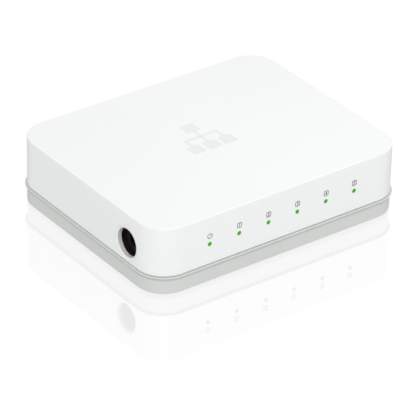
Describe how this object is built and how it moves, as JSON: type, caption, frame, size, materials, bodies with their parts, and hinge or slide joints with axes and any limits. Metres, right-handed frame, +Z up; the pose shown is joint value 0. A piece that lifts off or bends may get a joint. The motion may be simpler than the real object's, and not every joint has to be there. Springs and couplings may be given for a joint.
{
  "type": "desktop network switch",
  "caption": "Small desktop Ethernet switch: white rounded cover on a grey lipped tray, status lamps in front, power inlet at the side and network sockets at the back.",
  "frame": {"origin": "centre of the bounding box's footprint, on the desk under the rubber feet", "axes": "+X along the front, to the viewer's right when facing the lamps; +Y from the lamps towards the network sockets; +Z up"},
  "size_m": [0.1264, 0.1014, 0.0312],
  "materials": {
    "cover_plastic": "fine satin",
    "tray_plastic": "fine matt",
    "screw_steel": "zinc plated",
    "label_film": "matt film, blank",
    "foot_rubber": "matt",
    "board_laminate": "satin solder mask",
    "clear_plastic": "clear polycarbonate",
    "black_plastic": "moulded, satin",
    "plated_metal": "tin and nickel plate",
    "gold_plate": "gold flash over nickel",
    "chip_epoxy": "moulding compound",
    "thermal_rubber": "soft, matt",
    "sink_aluminium": "black anodised",
    "capacitor_can": "bare can",
    "ferrite": "sintered, matt",
    "capacitor_ceramic": "fired",
    "lamp_green": "lit lamp"
  },
  "bodies": {
    "case": {"top_cover": "cover_plastic", "bottom_tray": "tray_plastic", "case_screws": "screw_steel", "underside_label": "label_film", "circuit_board": "board_laminate", "light_pipe": "clear_plastic", "power_jack_body": "black_plastic", "power_jack_pin": "plated_metal", "power_jack_terminal": "plated_metal", "transformer_leads": "plated_metal", "switch_chip": "chip_epoxy", "switch_chip_leads": "plated_metal", "thermal_pad": "thermal_rubber", "heat_sink": "sink_aluminium", "memory_chip": "chip_epoxy", "regulator_chip": "chip_epoxy", "small_chip_leads": "plated_metal", "filter_capacitor_large": "capacitor_can", "filter_capacitor_small": "capacitor_can", "power_inductor": "ferrite", "crystal": "plated_metal", "protection_diode": "chip_epoxy", "chip_capacitors": "capacitor_ceramic", "chip_resistors": "chip_epoxy", "foot_front_left": "foot_rubber", "foot_front_right": "foot_rubber", "foot_back_left": "foot_rubber", "foot_back_right": "foot_rubber", "lamp_power": "lamp_green", "lamp_port_1": "lamp_green", "lamp_port_2": "lamp_green", "lamp_port_3": "lamp_green", "lamp_port_4": "lamp_green", "lamp_port_5": "lamp_green", "port_1_housing": "black_plastic", "port_1_tails": "gold_plate", "lan_transformer_1": "chip_epoxy", "port_2_housing": "black_plastic", "port_2_tails": "gold_plate", "lan_transformer_2": "chip_epoxy", "port_3_housing": "black_plastic", "port_3_tails": "gold_plate", "lan_transformer_3": "chip_epoxy", "port_4_housing": "black_plastic", "port_4_tails": "gold_plate", "lan_transformer_4": "chip_epoxy", "port_5_housing": "black_plastic", "port_5_tails": "gold_plate", "lan_transformer_5": "chip_epoxy"},
    "power_leaf": {"power_jack_spring": "plated_metal"},
    "port_1_wires": {"port_1_contacts": "gold_plate"},
    "port_2_wires": {"port_2_contacts": "gold_plate"},
    "port_3_wires": {"port_3_contacts": "gold_plate"},
    "port_4_wires": {"port_4_contacts": "gold_plate"},
    "port_5_wires": {"port_5_contacts": "gold_plate"}
  },
  "joints": [
    {"name": "port_1_wires_press", "type": "hinge", "parent": "case", "child": "port_1_wires", "pos_m": [0.0372, 0.0476, 0.02295], "axis": [-1, 0, 0], "range_deg": [0, 14], "stiffness_Nm_per_rad": 0.02},
    {"name": "port_2_wires_press", "type": "hinge", "parent": "case", "child": "port_2_wires", "pos_m": [0.0186, 0.0476, 0.02295], "axis": [-1, 0, 0], "range_deg": [0, 14], "stiffness_Nm_per_rad": 0.02},
    {"name": "port_3_wires_press", "type": "hinge", "parent": "case", "child": "port_3_wires", "pos_m": [0, 0.0476, 0.02295], "axis": [-1, 0, 0], "range_deg": [0, 14], "stiffness_Nm_per_rad": 0.02},
    {"name": "port_4_wires_press", "type": "hinge", "parent": "case", "child": "port_4_wires", "pos_m": [-0.0186, 0.0476, 0.02295], "axis": [-1, 0, 0], "range_deg": [0, 14], "stiffness_Nm_per_rad": 0.02},
    {"name": "port_5_wires_press", "type": "hinge", "parent": "case", "child": "port_5_wires", "pos_m": [-0.0372, 0.0476, 0.02295], "axis": [-1, 0, 0], "range_deg": [0, 14], "stiffness_Nm_per_rad": 0.02},
    {"name": "power_leaf_press", "type": "hinge", "parent": "case", "child": "power_leaf", "pos_m": [-0.04845, -0.02955, 0.0137], "axis": [0, -1, 0], "range_deg": [0, 5], "stiffness_Nm_per_rad": 0.05}
  ]
}
